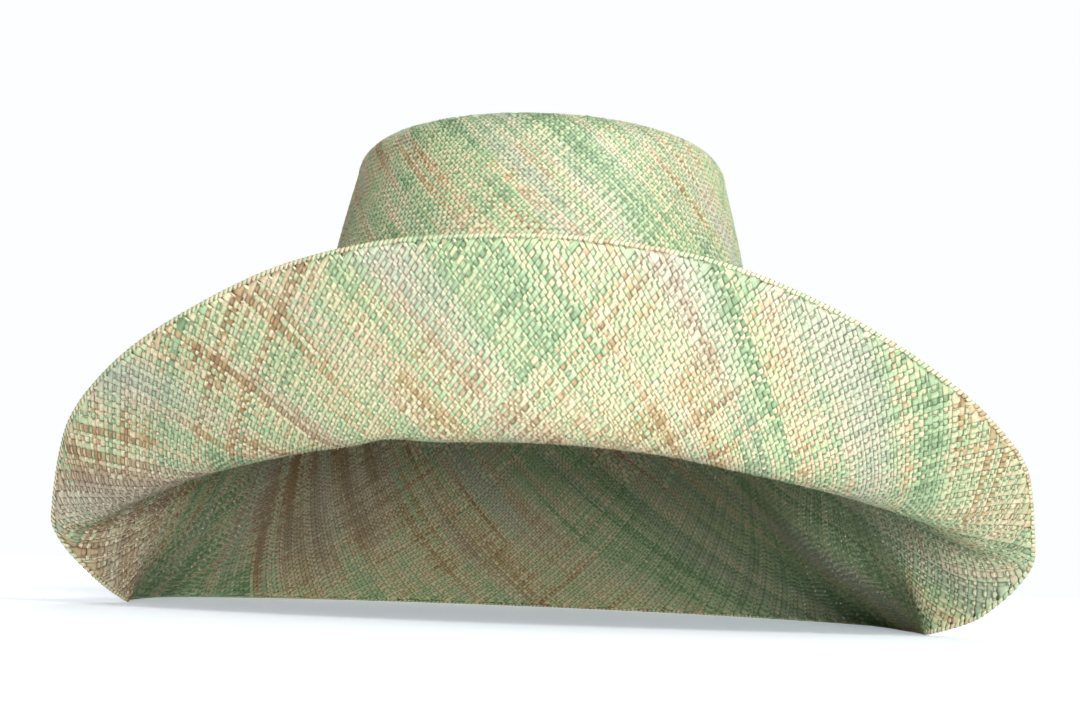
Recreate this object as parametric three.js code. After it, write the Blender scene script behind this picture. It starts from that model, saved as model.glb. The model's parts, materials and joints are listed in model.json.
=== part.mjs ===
// A wide-brimmed raffia hat. It stands on the turned-down back and sides of its brim, and the
// front of the brim is turned up. Millimetres, +Z up, the front towards -Y and the wearer's
// left hand towards +X. The origin is on the floor under the middle of the hat.

import * as THREE from 'three';

// The woven wall and the edge band, where the strips are folded back over the hem.
const WALL = 2;
const EDGE_WIDTH = 5;
const EDGE_THICKNESS = 3;
const EDGE_ROUNDING = 0.55;
const SEAM_GAP = 0.3;

// The head opening, measured at the middle of the wall, and where it stands over the floor.
const OPENING_HALF_WIDTH = 94;
const OPENING_HALF_LENGTH = 95;
const OPENING_HEIGHT = 110;
const OPENING_X = -4.7;
const OPENING_Y = -8;
const LEAN_SIDE_DEG = 0.4;
const LEAN_FRONT_DEG = 1;

// The crown: a side that tapers faster towards its top, a rounded shoulder and a flat tip.
const CROWN_HEIGHT = 89;
const CROWN_TOP_SHARE = 0.85;
const CROWN_TAPER_POWER = 1.35;
const SHOULDER_RADIUS = 15;
const SHOULDER_RISE = 0.85;
const TIP_FLAT_SHARE = 0.42;
const CROWN_SIDE_RINGS = 6;
const SHOULDER_RINGS = 4;
const CROWN_SIDES = 72;

// The brim leaves the crown steeply and bends out a few millimetres below the opening.
const ROOT_OUT = 1.5;
const ROOT_DROP = 6;
const ROOT_BEND = 5;
const BRIM_SIDES = 96;
const BRIM_RINGS = 17;

// One row for each section of the brim. azimuth is in degrees from the front, towards +X.
// foldOut and hemOut are measured outwards from the opening, foldHeight and hemHeight up from
// the floor, bend is how far the rounding reaches to both sides of the fold, and sweep is how
// far the hem is drawn round towards the front.
const BRIM_SECTIONS = [
  { azimuth: -180, foldOut: 51, foldHeight: 32, hemOut: 88, hemHeight: 0, bend: 33, sweep: 0 },
  { azimuth: -150, foldOut: 53, foldHeight: 32, hemOut: 87, hemHeight: 0, bend: 33, sweep: 19 },
  { azimuth: -125, foldOut: 51, foldHeight: 30, hemOut: 85, hemHeight: 0, bend: 33, sweep: 32 },
  { azimuth: -105, foldOut: 54, foldHeight: 28.5, hemOut: 71, hemHeight: 0, bend: 31, sweep: 34 },
  { azimuth: -90, foldOut: 61, foldHeight: 28, hemOut: 67, hemHeight: 0, bend: 22, sweep: 25 },
  { azimuth: -82, foldOut: 72, foldHeight: 27, hemOut: 79, hemHeight: 8, bend: 20, sweep: 18 },
  { azimuth: -74, foldOut: 85, foldHeight: 25, hemOut: 99, hemHeight: 32, bend: 19, sweep: 10 },
  { azimuth: -64, foldOut: 77, foldHeight: 31.5, hemOut: 100, hemHeight: 62, bend: 19, sweep: 3 },
  { azimuth: -54, foldOut: 64, foldHeight: 39.5, hemOut: 93.5, hemHeight: 85, bend: 20, sweep: 0 },
  { azimuth: -42, foldOut: 58.5, foldHeight: 44, hemOut: 83, hemHeight: 104, bend: 22, sweep: 0 },
  { azimuth: -30, foldOut: 55, foldHeight: 48, hemOut: 75, hemHeight: 117.5, bend: 23, sweep: 0 },
  { azimuth: -15, foldOut: 52, foldHeight: 50.5, hemOut: 72, hemHeight: 124.5, bend: 24, sweep: 0 },
  { azimuth: 0, foldOut: 51, foldHeight: 51.5, hemOut: 72, hemHeight: 126, bend: 24, sweep: 0 },
  { azimuth: 15, foldOut: 51.5, foldHeight: 50, hemOut: 72.5, hemHeight: 123.5, bend: 24, sweep: 0 },
  { azimuth: 30, foldOut: 54, foldHeight: 46, hemOut: 76.5, hemHeight: 114.5, bend: 23, sweep: 0 },
  { azimuth: 42, foldOut: 59.5, foldHeight: 43, hemOut: 89.5, hemHeight: 99, bend: 22, sweep: 0 },
  { azimuth: 54, foldOut: 67, foldHeight: 40, hemOut: 103, hemHeight: 79, bend: 20, sweep: 0 },
  { azimuth: 64, foldOut: 82, foldHeight: 34.5, hemOut: 110, hemHeight: 60, bend: 19, sweep: 3 },
  { azimuth: 74, foldOut: 91, foldHeight: 29, hemOut: 110, hemHeight: 33, bend: 19, sweep: 10 },
  { azimuth: 82, foldOut: 77, foldHeight: 29, hemOut: 88, hemHeight: 7, bend: 20, sweep: 18 },
  { azimuth: 90, foldOut: 63, foldHeight: 28, hemOut: 69, hemHeight: 0, bend: 22, sweep: 25 },
  { azimuth: 105, foldOut: 54, foldHeight: 27.5, hemOut: 71, hemHeight: 0, bend: 31, sweep: 34 },
  { azimuth: 125, foldOut: 48, foldHeight: 28, hemOut: 85, hemHeight: 0, bend: 33, sweep: 32 },
  { azimuth: 150, foldOut: 53, foldHeight: 32, hemOut: 87, hemHeight: 0, bend: 33, sweep: 19 },
];
const SWEEP_POWER = 1.5;
const REST_BLEND = 4;

// One row for each soft dent. along runs from 0 at the opening to 1 at the hem, spread and
// reach are the dent's half widths round the hat and along the brim.
const BRIM_DENTS = [
  { azimuth: 112, along: 0.6, spread: 11, reach: 0.3, inward: 12, lift: 0 },
  { azimuth: -21, along: 0.44, spread: 4, reach: 0.06, inward: 0, lift: 5 },
];

const RAFFIA = {
  crown: { color: 0xa9c094, roughness: 0.62 },
  brim: { color: 0xb3b88e, roughness: 0.62 },
  brim_edge: { color: 0xbbb58c, roughness: 0.66 },
};

const opening = new THREE.Matrix4()
  .makeRotationFromEuler(new THREE.Euler(
    THREE.MathUtils.degToRad(LEAN_FRONT_DEG),
    THREE.MathUtils.degToRad(-LEAN_SIDE_DEG),
    0,
  ))
  .setPosition(OPENING_X, OPENING_Y, OPENING_HEIGHT);

// A value of the brim table at any azimuth, with no overshoot between two rows.
function sectionValue(column, azimuth) {
  const count = BRIM_SECTIONS.length;
  const row = (i) => BRIM_SECTIONS[((i % count) + count) % count];
  const place = (i) => row(i).azimuth + 360 * Math.floor(i / count);
  let i = 0;
  while (place(i + 1) <= azimuth) {
    i += 1;
  }
  const step = (k) => place(k + 1) - place(k);
  const slope = (k) => (row(k + 1)[column] - row(k)[column]) / step(k);
  const tangent = (k) => {
    const before = slope(k - 1);
    const after = slope(k);
    if (before * after <= 0) {
      return 0;
    }
    const nearBefore = 2 * step(k) + step(k - 1);
    const nearAfter = step(k) + 2 * step(k - 1);
    return (nearBefore + nearAfter) / (nearBefore / before + nearAfter / after);
  };
  const h = step(i);
  const t = (azimuth - place(i)) / h;
  return row(i)[column] * (1 + 2 * t) * (1 - t) ** 2
    + row(i + 1)[column] * t * t * (3 - 2 * t)
    + tangent(i) * h * t * (1 - t) ** 2
    - tangent(i + 1) * h * t * t * (1 - t);
}

// A line through the corners with each inner corner rounded over the given reach.
function roundedPath(corners, reaches) {
  const path = new THREE.Path();
  path.moveTo(corners[0].x, corners[0].y);
  for (let i = 1; i < corners.length - 1; i += 1) {
    const before = corners[i - 1].clone().sub(corners[i]);
    const after = corners[i + 1].clone().sub(corners[i]);
    const reachBefore = Math.min(reaches[i - 1], 0.9 * before.length());
    const reachAfter = Math.min(reaches[i - 1], 0.9 * after.length());
    const start = corners[i].clone().addScaledVector(before.normalize(), reachBefore);
    const end = corners[i].clone().addScaledVector(after.normalize(), reachAfter);
    path.lineTo(start.x, start.y);
    path.quadraticCurveTo(corners[i].x, corners[i].y, end.x, end.y);
  }
  const last = corners[corners.length - 1];
  path.lineTo(last.x, last.y);
  return path;
}

function openingPoint(azimuth) {
  const angle = THREE.MathUtils.degToRad(azimuth);
  const x = OPENING_HALF_WIDTH * Math.sin(angle);
  const y = -OPENING_HALF_LENGTH * Math.cos(angle);
  return new THREE.Vector3(x, y, 0).applyMatrix4(opening);
}

// The middle of the brim's wall at one azimuth: a function of along, from opening to hem.
function brimProfile(azimuth) {
  const angle = THREE.MathUtils.degToRad(azimuth);
  const start = openingPoint(azimuth);
  const value = (column) => sectionValue(column, azimuth);
  const path = roundedPath(
    [
      new THREE.Vector2(0, start.z),
      new THREE.Vector2(ROOT_OUT, start.z - ROOT_DROP),
      new THREE.Vector2(value('foldOut'), value('foldHeight')),
      new THREE.Vector2(value('hemOut'), value('hemHeight')),
    ],
    [ROOT_BEND, value('bend')],
  );
  const sweep = value('sweep');
  const side = Math.sign(angle);
  return (along) => {
    const { x: out, y: height } = path.getPoint(along);
    const drawn = sweep * along ** SWEEP_POWER;
    const dent = dentAt(azimuth, along);
    return new THREE.Vector3(
      start.x + (out - dent.inward) * Math.sin(angle) - side * drawn * Math.cos(angle),
      start.y - (out - dent.inward) * Math.cos(angle) - side * drawn * Math.sin(angle),
      height + dent.lift,
    );
  };
}

function dentAt(azimuth, along) {
  const total = { inward: 0, lift: 0 };
  for (const dent of BRIM_DENTS) {
    const round = (azimuth - dent.azimuth) / dent.spread;
    const out = (along - dent.along) / dent.reach;
    const share = Math.exp(-(round * round + out * out));
    const hold = THREE.MathUtils.smoothstep(along, 0, 0.3);
    total.inward += dent.inward * share * hold;
    total.lift += dent.lift * share * hold;
  }
  return total;
}

// The direction across the brim's wall, upwards and outwards from the underside.
function brimNormal(azimuth, along) {
  const turn = 0.5;
  const step = 0.01;
  const from = Math.max(0, along - step);
  const to = Math.min(1, along + step);
  const here = brimProfile(azimuth);
  const outwards = here(to).sub(here(from));
  const round = brimProfile(azimuth + turn)(along).sub(brimProfile(azimuth - turn)(along));
  return outwards.cross(round).normalize();
}

function azimuthAt(i) {
  return -180 + (360 * (i + 0.5)) / BRIM_SIDES;
}

function brimLength(profile) {
  const steps = 24;
  let length = 0;
  for (let i = 0; i < steps; i += 1) {
    length += profile(i / steps).distanceTo(profile((i + 1) / steps));
  }
  return length;
}

// A closed surface over a grid of points: grid[i] is one loop, and the loops follow each other
// in a circle, or end in one point at both ends. Each four-sided face is split along its
// shorter diagonal, so that two surfaces side by side are split alike.
function loft(grid, closedAround) {
  const points = [];
  const starts = grid.map((loop) => points.push(...loop) - loop.length);
  const index = [];
  const bands = closedAround ? grid.length : grid.length - 1;
  for (let i = 0; i < bands; i += 1) {
    const next = (i + 1) % grid.length;
    const sides = Math.max(grid[i].length, grid[next].length);
    for (let j = 0; j < sides; j += 1) {
      const k = (j + 1) % sides;
      const [hereJ, hereK] = [j, k].map((n) => starts[i] + (grid[i].length > 1 ? n : 0));
      const [nextJ, nextK] = [j, k].map((n) => starts[next] + (grid[next].length > 1 ? n : 0));
      if (hereJ === hereK) {
        index.push(hereJ, nextK, nextJ);
      } else if (nextJ === nextK) {
        index.push(hereJ, hereK, nextJ);
      } else if (points[hereK].distanceTo(points[nextJ])
        < points[hereJ].distanceTo(points[nextK])) {
        index.push(hereJ, hereK, nextJ, hereK, nextK, nextJ);
      } else {
        index.push(hereJ, hereK, nextK, hereJ, nextK, nextJ);
      }
    }
  }
  const geometry = new THREE.BufferGeometry().setFromPoints(points);
  geometry.setIndex(index);
  geometry.computeVertexNormals();
  return geometry;
}

// One ring of the crown, inset from the middle of the wall and at a height over the opening.
function crownRing(share, inset, height) {
  const ring = [];
  for (let i = 0; i < CROWN_SIDES; i += 1) {
    const angle = (2 * Math.PI * i) / CROWN_SIDES;
    const x = (OPENING_HALF_WIDTH * share - inset) * Math.sin(angle);
    const y = -(OPENING_HALF_LENGTH * share - inset) * Math.cos(angle);
    ring.push(new THREE.Vector3(x, y, height).applyMatrix4(opening));
  }
  return ring;
}

// The crown's rings from the opening to its tip, for the skin at the given depth in the wall.
function crownSkin(depth) {
  const rings = [];
  const shoulderHeight = CROWN_HEIGHT - SHOULDER_RADIUS * SHOULDER_RISE;
  for (let i = 0; i <= CROWN_SIDE_RINGS; i += 1) {
    const up = i / CROWN_SIDE_RINGS;
    const share = 1 - (1 - CROWN_TOP_SHARE) * up ** CROWN_TAPER_POWER;
    rings.push(crownRing(share, depth, SEAM_GAP / 2 + (shoulderHeight - SEAM_GAP / 2) * up));
  }
  const radius = SHOULDER_RADIUS - depth;
  for (let i = 1; i <= SHOULDER_RINGS; i += 1) {
    const angle = (Math.PI / 2) * (i / SHOULDER_RINGS);
    const inset = SHOULDER_RADIUS - radius * Math.cos(angle);
    const rise = radius * Math.sin(angle) * SHOULDER_RISE;
    rings.push(crownRing(CROWN_TOP_SHARE, inset, shoulderHeight + rise));
  }
  const tipHeight = CROWN_HEIGHT + 1 - depth;
  rings.push(crownRing(TIP_FLAT_SHARE, 0, tipHeight));
  rings.push([new THREE.Vector3(0, 0, tipHeight).applyMatrix4(opening)]);
  return rings;
}

function crownGeometry() {
  const inside = crownSkin(WALL / 2).reverse();
  const outside = crownSkin(-WALL / 2);
  return loft([...inside, ...outside], false);
}

// A point in the opening's plane, just below the crown's lower end, for the brim to start on.
function brimStart(azimuth, across) {
  const angle = THREE.MathUtils.degToRad(azimuth);
  const x = (OPENING_HALF_WIDTH + across) * Math.sin(angle);
  const y = -(OPENING_HALF_LENGTH + across) * Math.cos(angle);
  return new THREE.Vector3(x, y, -SEAM_GAP / 2).applyMatrix4(opening);
}

function brimGeometry() {
  const grid = [];
  for (let i = 0; i < BRIM_SIDES; i += 1) {
    const azimuth = azimuthAt(i);
    const profile = brimProfile(azimuth);
    const end = 1 - (EDGE_WIDTH + SEAM_GAP) / brimLength(profile);
    const upper = [brimStart(azimuth, WALL / 2)];
    const under = [brimStart(azimuth, -WALL / 2)];
    for (let j = 1; j <= BRIM_RINGS; j += 1) {
      const along = end * (j / BRIM_RINGS);
      const across = brimNormal(azimuth, along);
      upper.push(profile(along).addScaledVector(across, WALL / 2));
      under.push(profile(along).addScaledVector(across, -WALL / 2));
    }
    grid.push([...upper, ...under.reverse()]);
  }
  return loft(grid, true);
}

// The edge band: thickest at its middle, and flat underneath where it rests on the floor.
function brimEdgeGeometry() {
  const grid = [];
  const half = EDGE_THICKNESS / 2;
  for (let i = 0; i < BRIM_SIDES; i += 1) {
    const azimuth = azimuthAt(i);
    const profile = brimProfile(azimuth);
    const start = 1 - EDGE_WIDTH / brimLength(profile);
    const middle = (start + 1) / 2;
    const hem = profile(1);
    const across = brimNormal(azimuth, 1);
    const flat = new THREE.Vector3(across.x, across.y, 0).normalize();
    const lifted = THREE.MathUtils.smoothstep(hem.z, 0, REST_BLEND);
    const lip = flat.lerp(across, lifted).normalize().multiplyScalar(half * EDGE_ROUNDING);
    const at = (along, offset) => {
      return profile(along).addScaledVector(brimNormal(azimuth, along), offset);
    };
    grid.push([
      at(start, WALL / 2),
      at(middle, half),
      hem.clone().add(lip),
      hem.clone().sub(lip),
      at(middle, -half),
      at(start, -WALL / 2),
    ]);
  }
  return loft(grid, true);
}

function piece(name, geometry) {
  const material = new THREE.MeshStandardMaterial({ ...RAFFIA[name], metalness: 0 });
  const mesh = new THREE.Mesh(geometry, material);
  mesh.name = name;
  return mesh;
}

const hat = new THREE.Group();
hat.add(piece('crown', crownGeometry()));
hat.add(piece('brim', brimGeometry()));
hat.add(piece('brim_edge', brimEdgeGeometry()));

export default hat;
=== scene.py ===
"""A wide-brimmed raffia hat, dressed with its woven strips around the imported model.

Lengths are in metres where they reach Blender and in millimetres in the tables and size fields.
+Z is up, the turned-up front of the brim faces -Y and the wearer's left hand is at +X.
"""

import json
import logging
import math
from dataclasses import dataclass, field
from enum import Enum

import bpy
import numpy as np
from mathutils import Matrix, Vector

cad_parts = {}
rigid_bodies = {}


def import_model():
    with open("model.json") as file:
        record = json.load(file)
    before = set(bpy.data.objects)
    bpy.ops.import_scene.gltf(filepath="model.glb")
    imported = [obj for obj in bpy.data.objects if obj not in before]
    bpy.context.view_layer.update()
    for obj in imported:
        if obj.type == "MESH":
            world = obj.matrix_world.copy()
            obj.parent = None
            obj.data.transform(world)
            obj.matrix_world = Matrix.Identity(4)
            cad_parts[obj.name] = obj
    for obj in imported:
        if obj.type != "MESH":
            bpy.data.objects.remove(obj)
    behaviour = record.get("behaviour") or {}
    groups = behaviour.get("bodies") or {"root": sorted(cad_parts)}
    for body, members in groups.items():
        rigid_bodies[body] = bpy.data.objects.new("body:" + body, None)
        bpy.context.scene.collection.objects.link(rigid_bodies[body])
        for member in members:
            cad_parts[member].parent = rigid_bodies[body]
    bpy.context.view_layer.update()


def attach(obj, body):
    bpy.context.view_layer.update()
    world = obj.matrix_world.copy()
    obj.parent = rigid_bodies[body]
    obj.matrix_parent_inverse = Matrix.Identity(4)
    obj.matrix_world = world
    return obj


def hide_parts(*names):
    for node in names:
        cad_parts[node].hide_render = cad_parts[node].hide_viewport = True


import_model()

LOG = logging.getLogger("raffia_hat")
MM = 0.001
FULL_TURN = 2.0 * math.pi


# The hat's form.


@dataclass(frozen=True)
class BrimSection:
    """One section of the brim, in degrees from the front towards +X and in millimetres.

    The fold and the hem are given by their distance out from the opening and their height above
    the floor, bend is the reach of the fold's rounding, and sweep is how far the hem is drawn
    round towards the front.
    """

    azimuth: float
    fold_out: float
    fold_height: float
    hem_out: float
    hem_height: float
    bend: float
    sweep: float


@dataclass(frozen=True)
class Dent:
    """One soft dent in the brim, by its place, its half widths and how far it moves the wall.

    azimuth and spread are in degrees, along and reach in shares of the brim's width, and inward
    and lift in millimetres.
    """

    azimuth: float
    along: float
    spread: float
    reach: float
    inward: float
    lift: float


BRIM_SECTIONS = (
    BrimSection(-180, 51, 32, 88, 0, 33, 0),
    BrimSection(-150, 53, 32, 87, 0, 33, 19),
    BrimSection(-125, 51, 30, 85, 0, 33, 32),
    BrimSection(-105, 54, 28.5, 71, 0, 31, 34),
    BrimSection(-90, 61, 28, 67, 0, 22, 25),
    BrimSection(-82, 72, 27, 79, 8, 20, 18),
    BrimSection(-74, 85, 25, 99, 32, 19, 10),
    BrimSection(-64, 77, 31.5, 100, 62, 19, 3),
    BrimSection(-54, 64, 39.5, 93.5, 85, 20, 0),
    BrimSection(-42, 58.5, 44, 83, 104, 22, 0),
    BrimSection(-30, 55, 48, 75, 117.5, 23, 0),
    BrimSection(-15, 52, 50.5, 72, 124.5, 24, 0),
    BrimSection(0, 51, 51.5, 72, 126, 24, 0),
    BrimSection(15, 51.5, 50, 72.5, 123.5, 24, 0),
    BrimSection(30, 54, 46, 76.5, 114.5, 23, 0),
    BrimSection(42, 59.5, 43, 89.5, 99, 22, 0),
    BrimSection(54, 67, 40, 103, 79, 20, 0),
    BrimSection(64, 82, 34.5, 110, 60, 19, 3),
    BrimSection(74, 91, 29, 110, 33, 19, 10),
    BrimSection(82, 77, 29, 88, 7, 20, 18),
    BrimSection(90, 63, 28, 69, 0, 22, 25),
    BrimSection(105, 54, 27.5, 71, 0, 31, 34),
    BrimSection(125, 48, 28, 85, 0, 33, 32),
    BrimSection(150, 53, 32, 87, 0, 33, 19),
)
BRIM_DENTS = (
    Dent(112, 0.6, 11, 0.3, 12, 0),
    Dent(-21, 0.44, 4, 0.06, 0, 5),
)


@dataclass(frozen=True)
class HatForm:
    """The middle of the hat's wall, from the centre of the tip to the hem.

    Every length is in millimetres. Rows run outwards: the tip, the shoulder and the side of the
    crown down to the opening, and then the brim from the opening to the hem. Dents fade out over
    the brim's first hold_share.
    """

    opening_half_width: float = 94.0
    opening_half_length: float = 95.0
    opening_place: tuple[float, float, float] = (-4.7, -8.0, 110.0)
    lean_side_deg: float = 0.4
    lean_front_deg: float = 1.0
    crown_height: float = 89.0
    top_share: float = 0.85
    taper_power: float = 1.35
    shoulder_radius: float = 15.0
    shoulder_rise: float = 0.85
    tip_flat_share: float = 0.42
    tip_dome: float = 1.0
    centre_radius: float = 3.0
    root_out: float = 1.5
    root_drop: float = 6.0
    root_bend: float = 5.0
    sweep_power: float = 1.5
    brim_width: float = 138.0
    hold_share: float = 0.3
    bend_limit: float = 0.9
    bend_steps: int = 33
    tip_rows: int = 40
    shoulder_rows: int = 24
    side_rows: int = 90
    brim_rows: int = 240

    def opening_turn(self) -> np.ndarray:
        """Returns the 3 by 3 turn of the opening's plane."""
        about_x = Matrix.Rotation(math.radians(self.lean_front_deg), 3, "X")
        about_y = Matrix.Rotation(math.radians(-self.lean_side_deg), 3, "Y")
        return np.array(about_x @ about_y)

    def section_value(self, column: str, azimuth: np.ndarray) -> np.ndarray:
        """Reads one column of the brim's table with no overshoot between two rows.

        Args:
            column: The field of BrimSection to read.
            azimuth: Azimuths in degrees, from -180 to 180.

        Returns:
            The value at each azimuth.
        """
        place = np.array([section.azimuth for section in BRIM_SECTIONS], float)
        value = np.array([getattr(section, column) for section in BRIM_SECTIONS], float)
        step = np.diff(np.append(place, place[0] + 360.0))
        slope = (np.roll(value, -1) - value) / step
        before, after = np.roll(slope, 1), slope
        step_before = np.roll(step, 1)
        near_before = 2 * step + step_before
        near_after = step + 2 * step_before
        same = before * after > 0
        safe_before = np.where(same, before, 1.0)
        safe_after = np.where(same, after, 1.0)
        mean = (near_before + near_after) / (near_before / safe_before + near_after / safe_after)
        tangent = np.where(same, mean, 0.0)
        row = np.clip(np.searchsorted(place, azimuth, side="right") - 1, 0, len(place) - 1)
        following = (row + 1) % len(place)
        wide = step[row]
        t = (azimuth - place[row]) / wide
        return (
            value[row] * (1 + 2 * t) * (1 - t) ** 2
            + value[following] * t * t * (3 - 2 * t)
            + tangent[row] * wide * t * (1 - t) ** 2
            - tangent[following] * wide * t * t * (1 - t)
        )

    def crown_profile(self) -> tuple[np.ndarray, np.ndarray, np.ndarray]:
        """Returns the crown's share of the opening, inset and height, from the tip outwards."""
        shoulder_height = self.crown_height - self.shoulder_radius * self.shoulder_rise
        flat_top = self.crown_height + self.tip_dome
        first_share = self.centre_radius / self.opening_half_width
        flat_shares = np.linspace(first_share, self.tip_flat_share, self.tip_rows)
        flat = [(share, 0.0, flat_top) for share in flat_shares]
        shoulder_start = (self.top_share, self.shoulder_radius, self.crown_height)
        slope = [
            tuple(np.array(flat[-1]) * (1 - t) + np.array(shoulder_start) * t)
            for t in np.linspace(0.04, 0.96, self.shoulder_rows)
        ]
        shoulder = [
            (
                self.top_share,
                self.shoulder_radius * (1 - math.cos(angle)),
                shoulder_height + self.shoulder_radius * math.sin(angle) * self.shoulder_rise,
            )
            for angle in np.linspace(math.pi / 2, 0, self.shoulder_rows)
        ]
        side = [
            (1 - (1 - self.top_share) * up ** self.taper_power, 0.0, shoulder_height * up)
            for up in np.linspace(1, 0, self.side_rows)[1:]
        ]
        rows = np.array(flat + slope + shoulder + side)
        return rows[:, 0], rows[:, 1], rows[:, 2]

    def crown_points(self, azimuth: np.ndarray) -> tuple[np.ndarray, np.ndarray]:
        """Lays the crown's rows out.

        Args:
            azimuth: Azimuths in radians.

        Returns:
            The points by azimuth and row, and each row's spread: the sum of arc over radius
            from the opening, which is negative on the crown.
        """
        share, inset, height = self.crown_profile()
        wide = self.opening_half_width * share - inset
        deep = self.opening_half_length * share - inset
        local = np.stack(
            [
                np.sin(azimuth)[:, None] * wide,
                -np.cos(azimuth)[:, None] * deep,
                np.broadcast_to(height, (len(azimuth), len(height))),
            ],
            axis=2,
        )
        radius = (wide + deep) / 2
        arc = np.hypot(np.diff(radius), np.diff(height))
        spread = np.concatenate([[0.0], np.cumsum(arc * 2 / (radius[1:] + radius[:-1]))])
        return local @ self.opening_turn().T + np.array(self.opening_place), spread - spread[-1]

    def mean_radius(self) -> float:
        """Returns the opening's mean radius."""
        return (self.opening_half_width + self.opening_half_length) / 2

    def crown_radii(self) -> np.ndarray:
        """Returns the mean radius of each of the crown's rows."""
        share, inset, _ = self.crown_profile()
        return self.mean_radius() * share - inset

    def corner(self, name: str, azimuth_deg: np.ndarray) -> np.ndarray:
        """Returns how far out and how high the fold or the hem is at each azimuth."""
        ways = (f"{name}_out", f"{name}_height")
        return np.stack([self.section_value(way, azimuth_deg) for way in ways], 1)

    def brim_path(self, azimuth_deg: np.ndarray, start_height: np.ndarray) -> np.ndarray:
        """Draws each section's line with its two rounded corners.

        Args:
            azimuth_deg: Azimuths in degrees.
            start_height: The opening's height at each azimuth.

        Returns:
            Points (out, height) by azimuth and step, from the opening to the hem.
        """
        ones = np.ones(len(azimuth_deg))
        corners = np.stack(
            [
                np.stack([0 * ones, start_height], 1),
                np.stack([self.root_out * ones, start_height - self.root_drop], 1),
                self.corner("fold", azimuth_deg),
                self.corner("hem", azimuth_deg),
            ],
            axis=1,
        )
        reaches = (self.root_bend * ones, self.section_value("bend", azimuth_deg))
        parts = [corners[:, :1]]
        for i, reach in enumerate(reaches, start=1):
            before = corners[:, i - 1] - corners[:, i]
            after = corners[:, i + 1] - corners[:, i]
            legs = [np.linalg.norm(leg, axis=1) for leg in (before, after)]
            ends = [
                corners[:, i] + leg * (np.minimum(reach, self.bend_limit * long) / long)[:, None]
                for leg, long in zip((before, after), legs)
            ]
            t = np.linspace(0, 1, self.bend_steps)[None, :, None]
            parts.append(
                ends[0][:, None] * (1 - t) ** 2
                + corners[:, i][:, None] * 2 * t * (1 - t)
                + ends[1][:, None] * t * t
            )
        parts.append(corners[:, 3:])
        return np.concatenate(parts, axis=1)

    def brim_points(self, azimuth: np.ndarray) -> tuple[np.ndarray, np.ndarray]:
        """Lays the brim's rows out.

        Args:
            azimuth: Azimuths in radians, from -pi to pi.

        Returns:
            The points by azimuth and row, and each row's spread from the opening.
        """
        degrees = np.degrees(azimuth)
        ring = np.stack(
            [
                self.opening_half_width * np.sin(azimuth),
                -self.opening_half_length * np.cos(azimuth),
                0 * azimuth,
            ],
            axis=1,
        )
        start = ring @ self.opening_turn().T + np.array(self.opening_place)
        path = self.brim_path(degrees, start[:, 2])
        length = np.cumsum(np.linalg.norm(np.diff(path, axis=1), axis=2), axis=1)
        length = np.concatenate([np.zeros((len(azimuth), 1)), length], axis=1)
        along = np.linspace(0, 1, self.brim_rows)
        out = np.empty((len(azimuth), self.brim_rows))
        height = np.empty_like(out)
        for i in range(len(azimuth)):
            out[i] = np.interp(along * length[i, -1], length[i], path[i, :, 0])
            height[i] = np.interp(along * length[i, -1], length[i], path[i, :, 1])
        hold = np.clip(along / self.hold_share, 0, 1)
        hold = hold * hold * (3 - 2 * hold)
        for dent in BRIM_DENTS:
            turned = (degrees[:, None] - dent.azimuth) / dent.spread
            outward = (along[None, :] - dent.along) / dent.reach
            share = np.exp(-(turned ** 2 + outward ** 2)) * hold
            out -= dent.inward * share
            height += dent.lift * share
        drawn = self.section_value("sweep", degrees)[:, None] * along ** self.sweep_power
        drawn *= np.sign(azimuth)[:, None]
        sin, cos = np.sin(azimuth)[:, None], np.cos(azimuth)[:, None]
        across = start[:, :1] + out * sin - drawn * cos
        deep = start[:, 1:2] - out * cos - drawn * sin
        points = np.stack([across, deep, height], axis=2)
        return points, np.log1p(along * self.brim_width / self.mean_radius())


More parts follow.
